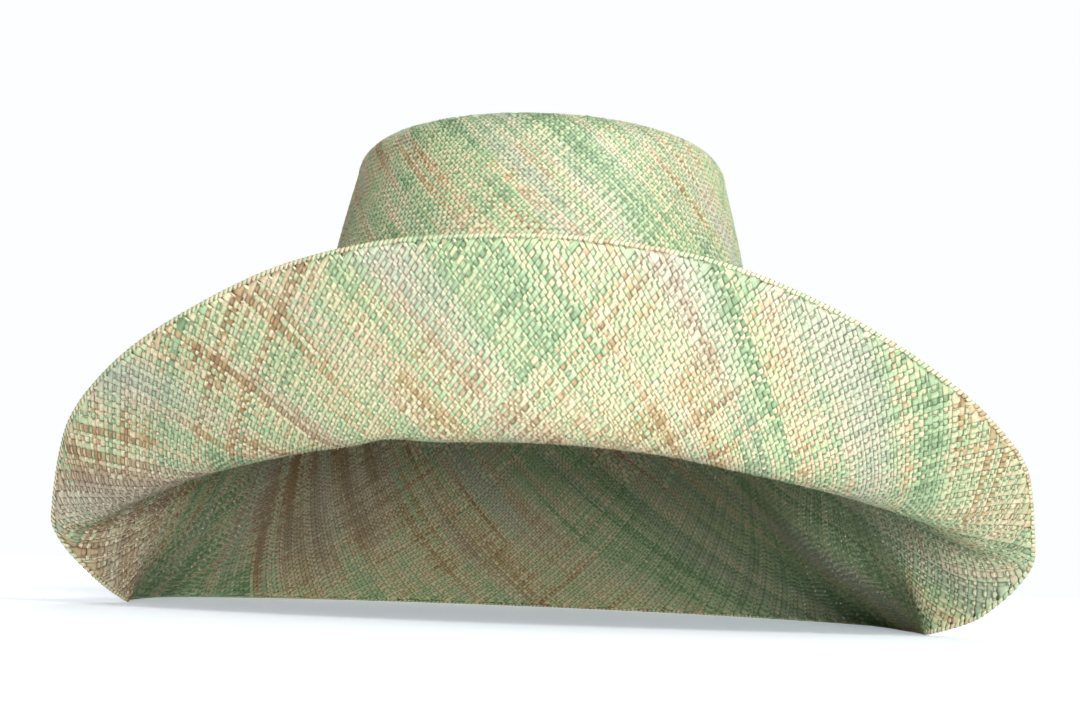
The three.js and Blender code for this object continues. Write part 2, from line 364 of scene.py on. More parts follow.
class HatSurface:
    """The middle of the wall as a table, read at any azimuth and spread."""

    TURNS = 1440

    def __init__(self, form: HatForm) -> None:
        """Tabulates the points, the normals and the arc from the tip of a form."""
        self.form = form
        self.azimuth = np.linspace(-math.pi, math.pi, self.TURNS + 1)
        crown, crown_spread = form.crown_points(self.azimuth)
        brim, brim_spread = form.brim_points(self.azimuth)
        self.points = np.concatenate([crown, brim[:, 1:]], axis=1)
        self.spread = np.concatenate([crown_spread, brim_spread[1:]])
        brim_radii = form.mean_radius() * np.exp(brim_spread[1:])
        self.radius = np.concatenate([form.crown_radii(), brim_radii])
        step = np.linalg.norm(np.diff(self.points, axis=1), axis=2).mean(axis=0)
        self.arc = np.concatenate([[0.0], np.cumsum(step)])
        outwards = np.gradient(self.points, axis=1)
        wrapped = np.concatenate([self.points[-2:-1], self.points, self.points[1:2]])
        around = (wrapped[2:] - wrapped[:-2]) / 2
        normal = np.cross(outwards, around)
        self.normals = normal / np.linalg.norm(normal, axis=2, keepdims=True)

    def at(self, azimuth: np.ndarray, spread: np.ndarray) -> tuple[np.ndarray, np.ndarray]:
        """Reads the surface.

        Args:
            azimuth: Azimuths in radians, of any turn.
            spread: The spread of each point, 0 at the opening.

        Returns:
            The points in millimetres and the normals towards the outside of the crown.
        """
        turn = (np.mod(azimuth + math.pi, FULL_TURN) / FULL_TURN) * self.TURNS
        row = np.interp(spread, self.spread, np.arange(len(self.spread)))
        i = np.minimum(turn.astype(int), self.TURNS - 1)
        j = np.minimum(row.astype(int), len(self.spread) - 2)
        a, b = (turn - i)[..., None], (row - j)[..., None]

        def blend(table: np.ndarray) -> np.ndarray:
            """Returns the table's value between its four nearest entries."""
            low = table[i, j] * (1 - b) + table[i, j + 1] * b
            high = table[i + 1, j] * (1 - b) + table[i + 1, j + 1] * b
            return low * (1 - a) + high * a

        normal = blend(self.normals)
        return blend(self.points), normal / np.linalg.norm(normal, axis=-1, keepdims=True)

    def arc_at(self, spread: np.ndarray) -> np.ndarray:
        """Returns the mean distance from the tip along the surface."""
        return np.interp(spread, self.spread, self.arc)

    def spread_at(self, radius: float) -> float:
        """Returns the spread at which the weave has a radius."""
        return float(np.interp(radius, self.radius, self.spread))

    def radius_at(self, spread: np.ndarray) -> np.ndarray:
        """Returns the weave's radius at a spread."""
        return np.interp(spread, self.spread, self.radius)


# The weave's layout.

NOISE_ROWS = 200
NOISE_SPREADS = (-4.0, 1.0)


def ring_noise(
    rng: np.random.Generator, strips: int, across: float, along: float
) -> np.ndarray:
    """Draws smooth noise over strip number and spread that repeats after a full turn.

    Args:
        rng: The source of chance.
        strips: The number of strips in a full turn.
        across: The smoothing from strip to strip, in strips.
        along: The smoothing along the strips, in rows.

    Returns:
        The table, with a mean of 0 and a deviation of 1.
    """
    noise = rng.standard_normal((strips, NOISE_ROWS))
    first = np.fft.fftfreq(strips)[:, None] * across
    second = np.fft.fftfreq(NOISE_ROWS)[None, :] * along
    blur = np.exp(-2 * math.pi ** 2 * (first ** 2 + second ** 2))
    table = np.fft.ifft2(np.fft.fft2(noise) * blur).real
    return (table - table.mean()) / table.std()


def read_ring(table: np.ndarray, number: np.ndarray, spread: np.ndarray) -> np.ndarray:
    """Reads a table of ring noise at strip numbers and spreads."""
    place = (spread - NOISE_SPREADS[0]) / (NOISE_SPREADS[1] - NOISE_SPREADS[0])
    row = np.clip(place * (NOISE_ROWS - 1), 0, NOISE_ROWS - 1.001)
    low = row.astype(int)
    index = np.mod(number, len(table))
    return table[index, low] * (1 - row + low) + table[index, low + 1] * (row - low)


class Lean(Enum):
    """To which of the wearer's hands a strip winds on its way out from the tip."""

    RIGHT = 0
    LEFT = 1

    @property
    def other(self) -> "Lean":
        """The lean of the strips that it crosses."""
        return Lean.LEFT if self is Lean.RIGHT else Lean.RIGHT

    @property
    def step(self) -> int:
        """The way in which the crossed strips' numbers change along a strip, outwards."""
        return -1 if self is Lean.RIGHT else 1


class Region(Enum):
    """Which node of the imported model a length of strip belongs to."""

    CROWN = "crown"
    BRIM = "brim"


@dataclass(frozen=True)
class StripRun:
    """One strip between two splits, as stations along its length.

    low, high and middle hold the two winding coordinates at each station, rise is the side on
    which the strip passes there, partner is the strip it crosses, number is its own, width counts
    the base strips that it is made up of, and thin says how narrow it is, from 0 to 1.
    """

    low: np.ndarray
    high: np.ndarray
    middle: np.ndarray
    rise: np.ndarray
    partner: np.ndarray
    number: int
    width: int
    thin: float
    lean: Lean

    @property
    def spread(self) -> np.ndarray:
        """The spread at each station."""
        return (self.middle[:, 0] - self.middle[:, 1]) / 2

    @property
    def azimuth(self) -> np.ndarray:
        """The azimuth at each station, in radians."""
        return (self.middle[:, 0] + self.middle[:, 1]) / 2

    def stretch(self, first: int, last: int) -> "StripRun":
        """Returns the stations from first up to last."""
        part = slice(first, last)
        rows = (self.low, self.high, self.middle, self.rise, self.partner)
        kept = (row[part] for row in rows)
        return StripRun(*kept, self.number, self.width, self.thin, self.lean)


@dataclass
class WeaveLayout:
    """Where every strip runs and on which side it passes each crossing.

    The two families wind outwards at 45 degrees. A strip is split in two where the weave grows
    wider, so level 0 is the outer brim, level 1 the inner brim with the crown's side and the
    rim of the tip, and the higher levels follow towards the tip's middle. A contrast says how
    much wider the first strip of each two is, as its middle and how far it slowly strays.
    """

    surface: HatSurface
    strips: int = 480
    seed: int = 7
    split_radii: tuple[float, ...] = (122.0, 62.0, 31.0, 16.0, 8.4)
    split_looseness: tuple[float, ...] = (15.0, 9.0, 4.0, 1.5, 0.5)
    centre_radius: float = 4.4
    pair_contrast: dict[Lean, tuple[float, float]] = field(
        default_factory=lambda: {Lean.RIGHT: (0.2, 0.12), Lean.LEFT: (0.25, 0.2)}
    )
    single_contrast: dict[Lean, tuple[float, float]] = field(
        default_factory=lambda: {Lean.RIGHT: (0.38, 0.17), Lean.LEFT: (0.28, 0.15)}
    )
    unevenness: float = 0.1
    contrast_limits: tuple[float, float] = (-0.15, 0.62)
    wobble: float = 0.17
    thin_below: float = 0.85
    thin_range: float = 0.45
    edges: dict[Lean, np.ndarray] = field(default_factory=dict)
    splits: dict[Lean, list[np.ndarray]] = field(default_factory=dict)
    wobbles: dict[Lean, np.ndarray] = field(default_factory=dict)

    def __post_init__(self) -> None:
        """Draws the strips' widths, their wobble and the places of their splits."""
        rng = np.random.default_rng(self.seed)
        pitch = FULL_TURN / self.strips
        for lean in Lean:
            pairs = self.strips // 2
            wider = self.contrast_of(self.pair_contrast[lean], rng)
            width = 1 + wider * np.where(np.arange(pairs) % 2 == 0, 1, -1)
            width *= pairs / width.sum()
            share = (1 + self.contrast_of(self.single_contrast[lean], rng)) / 2
            single = np.stack([width * share, width * (1 - share)], axis=1).ravel()
            edge = np.concatenate([[0.0], np.cumsum(single)]) * 2 * pitch
            drift = edge[-1] - self.strips * pitch
            self.edges[lean] = edge - np.linspace(0, 1, self.strips + 1) * drift
            levels = []
            radii = (*self.split_radii, self.centre_radius)
            looseness = (*self.split_looseness, 0.0)
            for level, (radius, loose) in enumerate(zip(radii, looseness), start=1):
                block = 2 ** level
                at = 2 * self.surface.spread_at(radius) / pitch / block
                drawn = rng.uniform(-loose, loose, self.strips // block)
                levels.append(np.round(at + drawn).astype(int))
            self.splits[lean] = levels
            self.wobbles[lean] = ring_noise(rng, self.strips, 0.1, 1.2)

    def contrast_of(self, limits: tuple[float, float], rng: np.random.Generator) -> np.ndarray:
        """Draws how much wider than the mean the first strip of each pair is.

        Args:
            limits: The contrast's middle and how far it slowly strays from it.
            rng: The source of chance.

        Returns:
            One contrast for each pair.
        """
        slow = np.tanh(ring_noise(rng, self.strips // 2, 6.0, 1.0)[:, 0])
        quick = self.unevenness * rng.standard_normal(self.strips // 2)
        return np.clip(limits[0] + limits[1] * slow + quick, *self.contrast_limits)

    def wobbled(self, run: StripRun) -> tuple[np.ndarray, np.ndarray]:
        """Bends a strip's two edges a little to and fro, together with its neighbours'.

        Args:
            run: The strip with straight edges.

        Returns:
            The winding coordinates of its low and its high edge.
        """
        size = self.wobble * math.sqrt(2) / self.surface.radius_at(run.spread)
        bent = []
        for side, number in ((run.low, run.number), (run.high, run.number + run.width)):
            side = side.copy()
            index = np.full(len(side), number)
            bend = size * read_ring(self.wobbles[run.lean], index, run.spread)
            side[:, run.lean.value] += bend
            bent.append(side)
        return bent[0], bent[1]

    def edge(self, lean: Lean, index: np.ndarray) -> np.ndarray:
        """Returns the winding coordinate of strip edges, counted on over any turn."""
        turn, place = np.divmod(index, self.strips)
        return self.edges[lean][place] + turn * FULL_TURN

    def split_block(self, lean: Lean, level: int, block: int) -> int:
        """Returns how many blocks out the strips of a block split into the level below."""
        levels = self.splits[lean][level - 1]
        return int(levels[block % len(levels)])

    def level_of(self, lean: Lean, own: int, other: int) -> int:
        """Returns the level of the strip with base index own where it meets base index other."""
        for level in range(len(self.split_radii), 0, -1):
            block = own >> level
            steps = ((other >> level) - block) * lean.step
            if steps < self.split_block(lean, level, block):
                return level
        return 0

    def ends(self, lean: Lean, level: int, number: int, end_spread: float) -> tuple[int, int]:
        """Returns the other family's base edges between which one strip runs.

        Args:
            lean: The strip's family.
            level: The strip's level.
            number: The strip's number at that level.
            end_spread: The spread at which the outermost strips end.

        Returns:
            The inner and the outer end, as base edge indices of the other family.
        """
        parent = number >> 1
        inner_steps = self.split_block(lean, level + 1, parent)
        wide = 2 ** (level + 1)
        right = lean is Lean.RIGHT
        inner = (parent - inner_steps + 1) * wide if right else (parent + inner_steps) * wide
        if level == 0:
            return inner, self.hem_edge(lean, number, inner, end_spread)
        steps = self.split_block(lean, level, number)
        block = 2 ** level
        return inner, (number - steps + 1) * block if right else (number + steps) * block

    def hem_edge(self, lean: Lean, number: int, inner: int, end_spread: float) -> int:
        """Returns the last edge of the other family that a strip reaches before the hem."""
        near, far = self.edge(lean, np.array([number, number + 1]))
        at = inner
        while True:
            across = float(self.edge(lean.other, np.array(at + lean.step)))
            spread = (far - across) / 2 if lean is Lean.RIGHT else (across - near) / 2
            if spread > end_spread:
                return at
            at += lean.step

    def runs(self, end_spread: float) -> list[StripRun]:
        """Lays out every strip of both families.

        Args:
            end_spread: The spread at which the strips of the outermost level end.

        Returns:
            The runs, each from one split to the next.
        """
        found = [
            self.run(lean, level, number, end_spread)
            for lean in Lean
            for level in range(len(self.split_radii) + 1)
            for number in range(self.strips >> level)
        ]
        return [run for run in found if run is not None]

    def run(self, lean: Lean, level: int, number: int, end_spread: float) -> StripRun | None:
        """Lays out one strip with a station at each crossing; see runs for the end."""
        other = lean.other
        inner, outer = self.ends(lean, level, number, end_spread)
        own, right = number << level, lean is Lean.RIGHT
        bounds, rise, partner = [inner], [], []
        while (bounds[-1] - outer) * lean.step < 0:
            cell = bounds[-1] - (1 if right else 0)
            other_level = self.level_of(other, cell, own)
            block = cell >> other_level
            bounds.append((block if right else block + 1) << other_level)
            coarse = max(level, other_level)
            even = ((own >> coarse) + (cell >> coarse)) % 2 == 0
            rise.append(1.0 if even != right else -1.0)
            partner.append(block << other_level)
        if len(rise) < 2:
            return None
        edges = self.edge(other, np.array(bounds))
        across = np.concatenate([edges[:1], (edges[1:] + edges[:-1]) / 2, edges[-1:]])
        low, high = self.edge(lean, np.array([own, own + (1 << level)]))
        room = (high - low) * self.strips / FULL_TURN / (1 << level)
        sides = [np.full_like(across, side) for side in (low, high, (low + high) / 2)]
        if level == 0:
            across = [across.copy() for _ in sides]
            for side, line in zip(sides, across):
                line[-1] = side[-1] + 2 * end_spread * lean.step
        else:
            across = [across] * 3
        pairs = [
            np.stack([side, line] if right else [line, side], axis=1)
            for side, line in zip(sides, across)
        ]
        return StripRun(
            *pairs,
            rise=np.array([0.0, *rise, 0.0]),
            partner=np.array([partner[0], *partner, partner[-1]]),
            number=own,
            width=1 << level,
            thin=float(np.clip((self.thin_below - room) / self.thin_range, 0, 1)),
            lean=lean,
        )

    def split_at_opening(self, run: StripRun) -> dict[Region, StripRun]:
        """Parts a strip at its station nearest to the opening.

        Args:
            run: The whole strip.

        Returns:
            The lengths that lie on the crown and on the brim, whichever there are.
        """
        spread = run.spread
        cut = int(np.argmin(np.abs(spread)))
        parts = {}
        if cut > 0 and spread[0] < 0:
            parts[Region.CROWN] = run.stretch(0, cut + 1)
        if cut < len(spread) - 1 and spread[-1] > 0:
            parts[Region.BRIM] = run.stretch(cut, len(spread))
        return parts


@dataclass
class DyePattern:
    """How the raffia's colour changes from strip to strip and along the strips.

    Tones, shifts and contrasts are places on the finish's scale of tones, from 0 to 1, and the shares
    say how much of each table goes into them. The two flanks are the brim's sides, where the sine of
    the azimuth times flank_slope passes the flank's start. The left flank's shift is partly the
    raffia's brown dye and partly painted shade, darker tones on the side turned away from the key
    lamp.
    """

    layout: WeaveLayout
    seed: int = 23
    middle: float = 0.45
    contrast: float = 0.25
    own_share: dict[Lean, float] = field(
        default_factory=lambda: {Lean.RIGHT: 0.7, Lean.LEFT: 0.75}
    )
    streak_shares: tuple[float, float] = (0.8, 0.6)
    band_share: float = 0.5
    patch_share: float = 0.5
    cell_share: float = 0.22
    thin_tone: float = 0.56
    thin_share: float = 0.7
    crown_shift: float = -0.09
    flank_slope: float = 1.8
    left_start: float = 0.8
    # Partly brown dye and partly painted shade on the side turned away from the key lamp.
    left_dye_and_painted_shade: float = 0.17
    left_contrast: float = 0.8
    right_start: float = 0.5
    right_shift: float = -0.15
    seam_blend: float = 0.08
    bleach_middle: float = 0.04
    bleach_contrast: float = 0.2
    bleach_limit: float = 0.6
    tables: dict[str, np.ndarray] = field(default_factory=dict)

    def __post_init__(self) -> None:
        """Draws the tables of long streaks, bands of neighbouring strips and broad patches."""
        rng = np.random.default_rng(self.seed)
        strips = self.layout.strips
        for lean in Lean:
            long = ring_noise(rng, strips, 0.4, 12.0)
            short = ring_noise(rng, strips, 0.4, 3.0)
            self.tables[lean.name] = (
                self.streak_shares[0] * long + self.streak_shares[1] * short
            )
        self.tables["band"] = ring_noise(rng, strips, 1.5, 4.0)
        self.tables["patch"] = ring_noise(rng, strips, 12.0, 6.0)
        self.tables["bleach"] = ring_noise(rng, strips, 3.0, 5.0)

    def read(self, name: str, number: np.ndarray, spread: np.ndarray) -> np.ndarray:
        """Reads one of the tables at strip numbers and spreads."""
        return read_ring(self.tables[name], number, spread)

    def tones(self, run: StripRun, rng: np.random.Generator) -> np.ndarray:
        """Gives a strip's tone at each of its stations.

        Args:
            run: The strip.
            rng: The source of the small differences from crossing to crossing.

        Returns:
            One tone for each station.
        """
        spread = run.spread
        turned = self.flank_slope * np.sin(run.azimuth)
        number = np.full(len(spread), run.number)
        value = (
            self.own_share[run.lean] * self.read(run.lean.name, number, spread)
            + self.band_share * self.read_bands("band", run)
            + self.patch_share * self.read_bands("patch", run)
            + self.cell_share * rng.standard_normal(len(spread))
        )
        outside = self.brim_share(spread)
        # The left flank shifts towards darker browns: partly the raffia's own dye, partly painted
        # shade on the side turned from the key lamp.
        left = np.clip(-turned - self.left_start, 0, 1) * outside
        right = np.clip(turned - self.right_start, 0, 1) * outside
        contrast = self.contrast * (1 + self.left_contrast * left)
        tone = self.middle + contrast * value + self.crown_shift * (1 - outside)
        tone += self.left_dye_and_painted_shade * left + self.right_shift * right
        thin = self.thin_share * run.thin
        return np.clip(tone * (1 - thin) + self.thin_tone * thin, 0.0, 1.0)

    def brim_share(self, spread: np.ndarray) -> np.ndarray:
        """Returns 0 on the crown and 1 on the brim, blended over the opening."""
        return np.clip(0.5 + spread / 2 / self.seam_blend, 0, 1)

    def read_bands(self, name: str, run: StripRun) -> np.ndarray:
        """Reads a table whose bands follow the LEFT strips on the crown and RIGHT on the brim.

        Args:
            name: The table's name.
            run: The strip.

        Returns:
            One value for each of the strip's stations.
        """
        spread = run.spread
        own = np.full(len(spread), run.number)
        right, left = (own, run.partner) if run.lean is Lean.RIGHT else (run.partner, own)
        share = self.brim_share(spread)
        return (1 - share) * self.read(name, left, spread) + share * self.read(name, right, spread)

    def bleach(self, run: StripRun) -> np.ndarray:
        """Gives how far a strip is faded to a greyish lilac at each of its stations."""
        faded = self.bleach_middle + self.bleach_contrast * self.read_bands("bleach", run)
        return np.clip(faded, 0.0, self.bleach_limit)


# Strips as meshes.


# How far the low edge, the middle and the high edge of a strip's section stand off its middle
# line, in thicknesses towards the side of its ridge.
SECTION_SIDES = (-0.5, 0.5, -0.5)


@dataclass
class StripMesh:
    """Collects flat strips, three points for each station, and writes them as one mesh.

    ridge is 1 where the strips are raised towards the outside of the wall and -1 where they are
    raised towards its inside. shaded is 1 where a strip's high edge carries the painted shadow and -1
    where its low edge does. values holds what the points carry, by the attribute's name.
    """

    ridge: float = 1.0
    shaded: float = 1.0
    points: list[np.ndarray] = field(default_factory=list)
    normals: list[np.ndarray] = field(default_factory=list)
    strip_uvs: list[np.ndarray] = field(default_factory=list)
    values: dict[str, list[np.ndarray]] = field(default_factory=dict)
    quads: list[np.ndarray] = field(default_factory=list)
    caps: list[np.ndarray] = field(default_factory=list)
    count: int = 0

    def add(
        self,
        points: np.ndarray,
        normals: np.ndarray,
        rise: np.ndarray,
        along: np.ndarray,
        tone: np.ndarray,
        bleach: np.ndarray,
    ) -> None:
        """Adds one strip.

        Args:
            points: Stations by three points, from one edge over the middle to the other.
            normals: The wall's normals at the points.
            rise: The side on which the strip passes, at each station.
            along: The length run at each point, in millimetres.
            tone: The tone at each station.
            bleach: How far the strip is faded at each station.
        """
        stations = len(points)
        wide = np.linalg.norm(points[:, 2] - points[:, 0], axis=1)
        # The sign of across decides which long edge of the strip gets the painted shadow.
        across = np.stack([-wide / 2, 0 * wide, wide / 2], axis=1) * self.shaded
        self.points.append(points.reshape(-1, 3))
        self.normals.append(normals.reshape(-1, 3))
        self.strip_uvs.append(np.stack([across, along], axis=2).reshape(-1, 2))
        given = {"rise": rise, "tone": tone, "half_width": wide / 2, "bleach": bleach}
        for name, value in given.items():
            self.values.setdefault(name, []).append(np.repeat(value, 3))
        first = self.count + 3 * np.arange(stations - 1)[:, None]
        here = np.arange(3)[None, :]
        there = (here + 1) % 3
        quads = np.stack(
            [first + here, first + there, first + 3 + there, first + 3 + here], axis=2
        )
        ends = self.count + np.array([[2, 1, 0], [0, 1, 2]])
        ends[1] += 3 * (stations - 1)
        width = points[:-1, 2] - points[:-1, 0]
        travel = points[1:, 1] - points[:-1, 1]
        if (np.cross(width, travel) * normals[:-1, 1]).sum() * self.ridge < 0:
            quads, ends = quads[..., ::-1], ends[:, ::-1]
        self.quads.append(quads.reshape(-1, 4))
        self.caps.append(ends)
        self.count += 3 * stations

    def build(self, name: str) -> bpy.types.Object:
        """Returns the strips as an object, still flat on the middle of the wall."""
        points = np.concatenate(self.points) * MM
        quads, caps = np.concatenate(self.quads), np.concatenate(self.caps)
        corners = np.concatenate([quads.ravel(), caps.ravel()]).astype(np.int32)
        starts = np.concatenate(
            [np.arange(len(quads)) * 4, quads.size + np.arange(len(caps)) * 3]
        ).astype(np.int32)
        mesh = bpy.data.meshes.new(name)
        mesh.vertices.add(len(points))
        mesh.vertices.foreach_set("co", points.ravel())
        mesh.loops.add(len(corners))
        mesh.loops.foreach_set("vertex_index", corners)
        mesh.polygons.add(len(starts))
        mesh.polygons.foreach_set("loop_start", starts)
        mesh.update(calc_edges=True)
        side = np.tile(SECTION_SIDES, len(points) // 3) * self.ridge
        self.write(mesh, "wall_normal", "FLOAT_VECTOR", "vector", np.concatenate(self.normals))
        self.write(mesh, "side", "FLOAT", "value", side)
        for key, values in self.values.items():
            self.write(mesh, key, "FLOAT", "value", np.concatenate(values))
        uv = mesh.uv_layers.new(name="strip_uv")
        uv.data.foreach_set("uv", np.concatenate(self.strip_uvs)[corners].ravel())
        self.sharpen_edges(mesh)
        item = bpy.data.objects.new(name, mesh)
        bpy.context.scene.collection.objects.link(item)
        return item

    @staticmethod
    def write(mesh: bpy.types.Mesh, name: str, kind: str, key: str, values: np.ndarray) -> None:
        """Stores one value for each point."""
        attribute = mesh.attributes.new(name, kind, "POINT")
        attribute.data.foreach_set(key, values.astype(np.float32).ravel())

    @staticmethod
    def sharpen_edges(mesh: bpy.types.Mesh) -> None:
        """Marks the two long edges of every strip as sharp."""
        ends = np.empty(len(mesh.edges) * 2, np.int32)
        mesh.edges.foreach_get("vertices", ends)
        corner = ends.reshape(-1, 2) % 3
        long_edge = (corner[:, 0] == corner[:, 1]) & (corner[:, 0] != 1)
        sharp = mesh.attributes.new("sharp_edge", "BOOLEAN", "EDGE")
        sharp.data.foreach_set("value", long_edge)


# Node trees.


class NodeTree:
    """A node tree, and a short way to add nodes and named sockets to it."""

    def __init__(self, tree: bpy.types.NodeTree) -> None:
        """Takes the tree that is to be filled."""
        self.tree = tree

    @classmethod
    def group(cls, name: str, kind: str) -> "NodeTree":
        """Makes an empty node group of the given kind."""
        return cls(bpy.data.node_groups.new(name, kind))

    def socket(self, name: str, kind: str, out: bool = False, value: object = None) -> str:
        """Adds a named input or output and returns its identifier."""
        way = "OUTPUT" if out else "INPUT"
        item = self.tree.interface.new_socket(name=name, in_out=way, socket_type=kind)
        if value is not None:
            item.default_value = value
        return item.identifier

    def node(self, kind: str, settings: dict | None = None, **inputs: object) -> bpy.types.Node:
        """Adds one node.

        Args:
            kind: The node's type name.
            settings: Properties to set on the node.
            inputs: Values or output sockets by input name, with _ for a space, or by i and a
                number for the place.

        Returns:
            The new node.
        """
        node = self.tree.nodes.new(kind)
        for key, value in (settings or {}).items():
            setattr(node, key, value)
        for key, value in inputs.items():
            place = int(key[1:]) if key[0] == "i" and key[1:].isdigit() else key.replace("_", " ")
            target = node.inputs[place]
            if isinstance(value, bpy.types.NodeSocket):
                self.tree.links.new(value, target)
            else:
                target.default_value = value
        return node

    def maths(self, operation: str, *values: object) -> bpy.types.NodeSocket:
        """Adds a Math node and returns its result."""
        inputs = {f"i{place}": value for place, value in enumerate(values)}
        return self.node("ShaderNodeMath", {"operation": operation}, **inputs).outputs[0]

    def product(self, first: object, *others: object) -> bpy.types.NodeSocket:
        """Multiplies values in turn and returns the result."""
        for other in others:
            first = self.maths("MULTIPLY", first, other)
        return first

    def vector(self, operation: str, **inputs: object) -> bpy.types.NodeSocket:
        """Adds a Vector Math node and returns its vector."""
        return self.node("ShaderNodeVectorMath", {"operation": operation}, **inputs).outputs[0]

    def parts(self, vector: bpy.types.NodeSocket) -> bpy.types.NodeOutputs:
        """Parts a vector into X, Y and Z."""
        return self.node("ShaderNodeSeparateXYZ", Vector=vector).outputs

    def noise(self, dimensions: str, **inputs: object) -> bpy.types.NodeSocket:
        """Adds a Noise Texture and returns its value, which lies about 0.5."""
        settings = {"noise_dimensions": dimensions}
        return self.node("ShaderNodeTexNoise", settings, **inputs).outputs["Fac"]

    def fade(self, value: bpy.types.NodeSocket, **limits: float) -> bpy.types.NodeSocket:
        """Adds a smooth Map Range node and returns its result."""
        settings = {"interpolation_type": "SMOOTHSTEP"}
        return self.node("ShaderNodeMapRange", settings, Value=value, **limits).outputs[0]

    def mix(self, share: object, first: object, second: object) -> bpy.types.NodeSocket:
        """Adds a Mix node for plain values and returns its result."""
        settings = {"data_type": "FLOAT"}
        return self.node("ShaderNodeMix", settings, i0=share, i2=first, i3=second).outputs[0]


class ReliefTree:
    """Geometry Nodes that lift flat strips over and under each other and give them thickness."""

    SLACK_SCALE = 260.0
    SLACK_STEP = 61.0

    def __init__(self) -> None:
        """Builds the tree with its named inputs."""
        group = NodeTree.group("woven_relief", "GeometryNodeTree")
        self.tree = group.tree
        self.ids = {
            "flat": group.socket("Flat Strips", "NodeSocketGeometry"),
            "lift": group.socket("Lift", "NodeSocketFloat", value=0.0003),
            "thickness": group.socket("Thickness", "NodeSocketFloat", value=0.0003),
            "looseness": group.socket("Looseness", "NodeSocketFloat", value=0.0001),
            "floor": group.socket("Floor Height", "NodeSocketFloat", value=0.0),
            "seed": group.socket("Seed", "NodeSocketFloat", value=3.0),
            "finish": group.socket("Finish", "NodeSocketMaterial"),
        }
        group.socket("Woven Strips", "NodeSocketGeometry", out=True)
        given = group.node("NodeGroupInput").outputs
        normal = self.named(group, "wall_normal", "FLOAT_VECTOR")
        rise, side, tone = (self.named(group, name, "FLOAT") for name in ("rise", "side", "tone"))
        place = group.node("GeometryNodeInputPosition").outputs[0]
        strip = group.maths("MULTIPLY_ADD", tone, self.SLACK_STEP, given["Seed"])
        noise = group.noise("4D", Vector=place, W=strip, Scale=self.SLACK_SCALE, Detail=1.0)
        slack = group.product(group.maths("SUBTRACT", noise, 0.5), given["Looseness"])
        body = group.maths("MULTIPLY_ADD", side, given["Thickness"], slack)
        height = group.maths("MULTIPLY_ADD", rise, given["Lift"], body)
        offset = group.vector("SCALE", i0=normal, Scale=height)
        parts = group.parts(group.vector("ADD", i0=place, i1=offset))
        above = group.maths("MAXIMUM", parts["Z"], given["Floor Height"])
        final = group.node("ShaderNodeCombineXYZ", X=parts["X"], Y=parts["Y"], Z=above).outputs[0]
        moved = group.node(
            "GeometryNodeSetPosition", Geometry=given["Flat Strips"], Position=final
        ).outputs[0]
        real = group.node("GeometryNodeRealizeInstances", Geometry=moved).outputs[0]
        dressed = group.node("GeometryNodeSetMaterial", Geometry=real, Material=given["Finish"])
        group.node("NodeGroupOutput", i0=dressed.outputs[0])

    @staticmethod
    def named(group: NodeTree, name: str, kind: str) -> bpy.types.NodeSocket:
        """Adds a node that reads a stored attribute and returns its value."""
        node = group.node("GeometryNodeInputNamedAttribute", {"data_type": kind}, Name=name)
        return node.outputs["Attribute"]

    def apply(self, item: bpy.types.Object, values: dict[str, object]) -> None:
        """Runs the tree on an object and keeps its result as a plain mesh, with no modifier.

        Args:
            item: The object with the flat strips.
            values: The inputs' values by their short names.
        """
        modifier = item.modifiers.new("weave", "NODES")
        modifier.node_group = self.tree
        for key, value in values.items():
            modifier[self.ids[key]] = value
        item.update_tag()
        graph = bpy.context.evaluated_depsgraph_get()
        made = bpy.data.meshes.new_from_object(
            item.evaluated_get(graph), preserve_all_data_layers=True, depsgraph=graph
        )
        item.modifiers.remove(modifier)
        old = item.data
        item.data = made
        bpy.data.meshes.remove(old)
        made.name = item.name


# Finishes.


@dataclass(frozen=True)
class DyeScale:
    """The dyed and bleached tones of the raffia, from green over straw to rust."""

    tones: tuple[tuple[float, tuple[float, float, float]], ...] = (
        (0.00, (0.24, 0.37, 0.19)),
        (0.14, (0.36, 0.51, 0.28)),
        (0.30, (0.46, 0.60, 0.34)),
        (0.42, (0.55, 0.62, 0.35)),
        (0.52, (0.66, 0.65, 0.38)),
        (0.60, (0.76, 0.68, 0.45)),
        (0.68, (0.69, 0.55, 0.34)),
        (0.78, (0.56, 0.43, 0.22)),
        (0.90, (0.47, 0.34, 0.16)),
        (1.00, (0.37, 0.23, 0.11)),
    )

    def fill(self, ramp: bpy.types.ColorRamp) -> None:
        """Writes the tones into a colour ramp."""
        while len(ramp.elements) < len(self.tones):
            ramp.elements.new(0.5)
        for element, (at, colour) in zip(ramp.elements, self.tones):
            element.position = at
            element.color = (*colour, 1.0)


